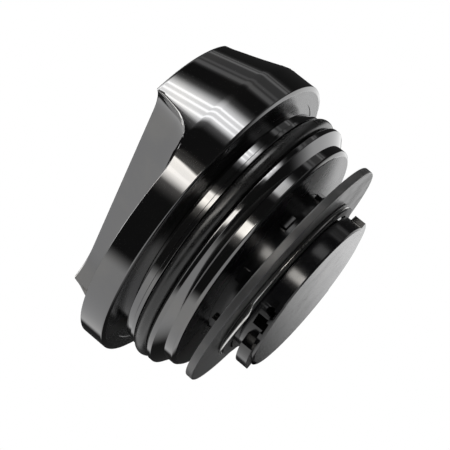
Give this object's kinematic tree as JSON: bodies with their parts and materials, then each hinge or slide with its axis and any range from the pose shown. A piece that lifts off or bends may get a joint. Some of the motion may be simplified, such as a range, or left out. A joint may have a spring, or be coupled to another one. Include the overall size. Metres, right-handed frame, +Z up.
{
  "type": "oil filler cap",
  "caption": "Round engine oil filler cap with a raised finger grip, a sealing O-ring, a flat soft washer and a bayonet insert.",
  "frame": {"origin": "centre of the bayonet end face, which is the face the cap stands on", "axes": "+Z up through the finger grip, +X along the grip, +Y across it"},
  "size_m": [0.066, 0.066, 0.0425],
  "materials": {
    "anodised_body": "black anodised, finely turned",
    "seal_rubber": "satin",
    "insert_plastic": "gloss",
    "washer_rubber": "matte",
    "ring_steel": "bright"
  },
  "bodies": {
    "root": {"knob": "anodised_body", "o_ring": "seal_rubber", "insert": "insert_plastic", "washer": "washer_rubber", "retainer": "insert_plastic", "wire_ring": "ring_steel"}
  },
  "joints": []
}
